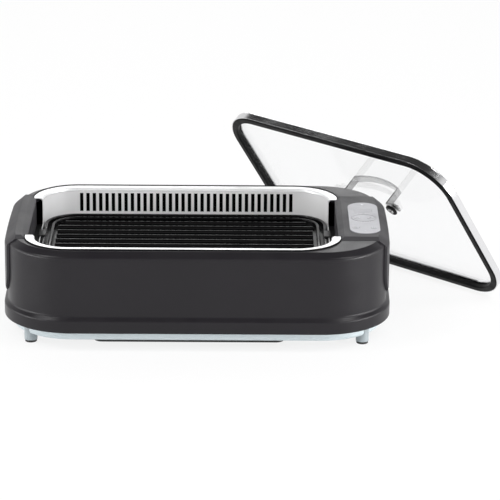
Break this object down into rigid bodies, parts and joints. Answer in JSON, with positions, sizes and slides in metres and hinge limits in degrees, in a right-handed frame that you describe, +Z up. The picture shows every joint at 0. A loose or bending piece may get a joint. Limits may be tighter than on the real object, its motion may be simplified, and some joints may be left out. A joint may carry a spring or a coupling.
{
  "type": "smokeless grill",
  "caption": "Electric indoor grill with a ridged plate, drip tray, slotted steel liner, extractor fan, touch panel and a loose glass lid leaning behind it.",
  "frame": {"origin": "centre of the grill body in plan, on the table under the feet", "axes": "+X towards the keypad end, +Y towards the slotted rear wall and the leaning lid, +Z up"},
  "size_m": [0.6867, 0.5027, 0.2309],
  "materials": {
    "shell_black": "satin",
    "cover_black": "satin",
    "cup_black": "matt",
    "pan_silver": "satin",
    "base_black": "matt",
    "foot_grey": "satin",
    "foot_rubber": "matt",
    "liner_steel": "brushed",
    "trim_steel": "bright satin",
    "gasket_black": "matt",
    "chamber_black": "matt",
    "keypad_silver": "satin",
    "key_silver": "satin",
    "display_glass": "gloss",
    "lens_clear": "gloss",
    "board_green": "satin",
    "switch_black": "satin",
    "module_black": "gloss",
    "screw_steel": "satin",
    "plate_coating": "glossy non-stick coat",
    "tab_steel": "satin",
    "element_metal": "satin",
    "clip_steel": "satin",
    "terminal_ceramic": "matt",
    "pin_metal": "satin",
    "socket_ceramic": "matt",
    "tray_coating": "non-stick coat",
    "duct_metal": "satin",
    "scroll_plastic": "satin",
    "impeller_plastic": "satin",
    "shaft_steel": "polished",
    "motor_metal": "satin",
    "relay_plastic": "gloss",
    "capacitor_metal": "satin",
    "lid_glass": "clear",
    "lid_rubber": "satin",
    "band_chrome": "polished",
    "handle_chrome": "polished"
  },
  "bodies": {
    "grill_body": {"outer_housing": "shell_black", "housing_bezel": "shell_black", "bottom_pan": "pan_silver", "base_cover": "base_black", "foot_posts": "foot_grey", "foot_pads": "foot_rubber", "heat_liner": "liner_steel", "slot_screen": "liner_steel", "rim_trim": "trim_steel", "rim_gasket": "gasket_black", "inner_chamber": "chamber_black", "left_end_cover": "cover_black", "right_end_cover": "cover_black", "left_handle_cup": "cup_black", "right_handle_cup": "cup_black", "keypad_plate": "keypad_silver", "display_window": "display_glass", "status_lenses": "lens_clear", "control_board": "board_green", "tact_switches": "switch_black", "display_module": "module_black", "board_screws": "screw_steel", "heater_socket": "socket_ceramic", "smoke_duct": "duct_metal", "duct_ends": "duct_metal", "fan_scroll": "scroll_plastic", "fan_inlet_ring": "scroll_plastic", "fan_motor": "motor_metal", "motor_bracket": "duct_metal", "motor_screws": "screw_steel", "power_board": "board_green", "relay_block": "relay_plastic", "capacitor": "capacitor_metal", "board_posts": "switch_black", "thermal_cutout": "terminal_ceramic", "cord_gland": "foot_rubber", "pan_screws": "screw_steel", "base_screws": "screw_steel", "cover_screws": "screw_steel"},
    "fan": {"fan_impeller": "impeller_plastic", "motor_shaft": "shaft_steel", "hub_nut": "screw_steel"},
    "tray": {"drip_tray": "tray_coating"},
    "plate": {"grill_plate": "plate_coating", "plate_ridges": "plate_coating", "plate_tabs": "tab_steel", "heating_element": "element_metal", "element_clips": "clip_steel", "terminal_block": "terminal_ceramic", "contact_pins": "pin_metal"},
    "lid": {"lid_glass": "lid_glass", "lid_seal": "lid_rubber", "lid_band": "band_chrome", "lid_handle": "handle_chrome", "lid_washers": "lid_rubber", "lid_screws": "handle_chrome"},
    "temp_down_key": {"temp_down_key": "key_silver"},
    "temp_up_key": {"temp_up_key": "key_silver"},
    "power_key": {"power_key": "key_silver"},
    "fan_key": {"fan_key": "key_silver"}
  },
  "joints": [
    {"name": "lid_lift", "type": "slide", "parent": "grill_body", "child": "lid", "axis": [0, 0, 1], "range_m": [0, 0.2]},
    {"name": "tray_lift", "type": "slide", "parent": "grill_body", "child": "tray", "axis": [0, 0, 1], "range_m": [0, 0.09]},
    {"name": "plate_lift", "type": "slide", "parent": "tray", "child": "plate", "axis": [0, 0, 1], "range_m": [0, 0.08]},
    {"name": "fan_spin", "type": "hinge", "parent": "grill_body", "child": "fan", "pos_m": [-0.01, 0.02, 0.03], "axis": [0, 0, 1], "continuous": true},
    {"name": "temp_down_key_press", "type": "slide", "parent": "grill_body", "child": "temp_down_key", "axis": [0, 0, -1], "range_m": [0, 0.0005], "stiffness_N_per_m": 800},
    {"name": "temp_up_key_press", "type": "slide", "parent": "grill_body", "child": "temp_up_key", "axis": [0, 0, -1], "range_m": [0, 0.0005], "stiffness_N_per_m": 800},
    {"name": "power_key_press", "type": "slide", "parent": "grill_body", "child": "power_key", "axis": [0, 0, -1], "range_m": [0, 0.0005], "stiffness_N_per_m": 800},
    {"name": "fan_key_press", "type": "slide", "parent": "grill_body", "child": "fan_key", "axis": [0, 0, -1], "range_m": [0, 0.0005], "stiffness_N_per_m": 800}
  ],
  "couplings": [
    {"joint": "tray_lift", "follows": "lid_lift", "ratio": 0.45}
  ]
}
